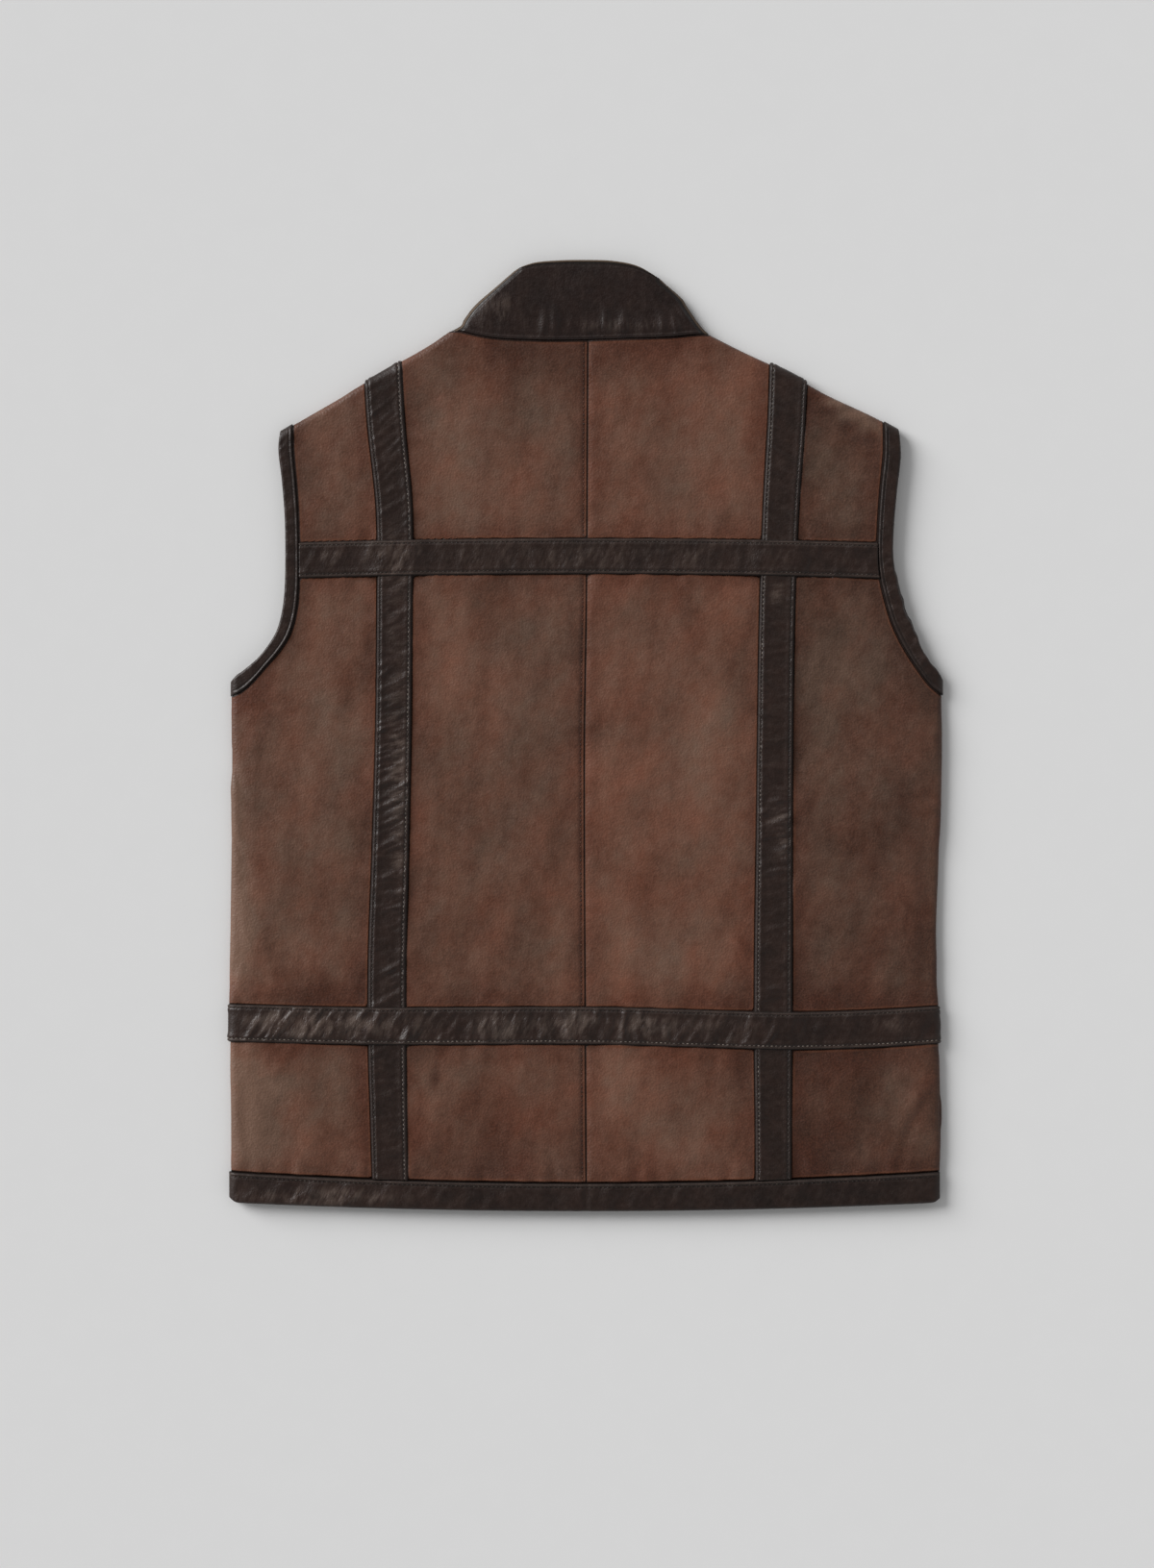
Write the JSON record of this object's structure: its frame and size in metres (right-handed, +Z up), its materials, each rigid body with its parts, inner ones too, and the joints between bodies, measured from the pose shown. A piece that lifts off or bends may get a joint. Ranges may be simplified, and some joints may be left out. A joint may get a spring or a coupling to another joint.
{
  "type": "leather vest laid face down",
  "caption": "Lined leather vest with a stand collar, laid flat with its back up: brown panels, dark strips, bindings and hem band.",
  "frame": {"origin": "centre of the outline seen from above, on the surface that the vest lies on", "axes": "+X to the picture's right across the back, +Y from hem to collar, +Z up from the surface, out of the back"},
  "size_m": [0.5616, 0.747, 0.0123],
  "materials": {
    "brown_leather": "antiqued brown leather, mottled from reddish to dark greenish brown, soft sheen, fine grain",
    "dark_leather": "very dark brown leather, soft sheen, topstitched along its edges"
  },
  "bodies": {
    "root": {"back_side_left": "brown_leather", "back_centre_left": "brown_leather", "back_centre_right": "brown_leather", "back_side_right": "brown_leather", "front_left": "brown_leather", "front_right": "brown_leather", "strip_vertical_left": "dark_leather", "strip_vertical_right": "dark_leather", "strip_chest": "dark_leather", "strip_waist": "dark_leather", "armhole_binding_left_back": "dark_leather", "armhole_binding_left_front": "dark_leather", "armhole_binding_right_back": "dark_leather", "armhole_binding_right_front": "dark_leather", "hem_band_back": "dark_leather", "hem_band_front_left": "dark_leather", "hem_band_front_right": "dark_leather", "collar": "dark_leather"}
  },
  "joints": []
}
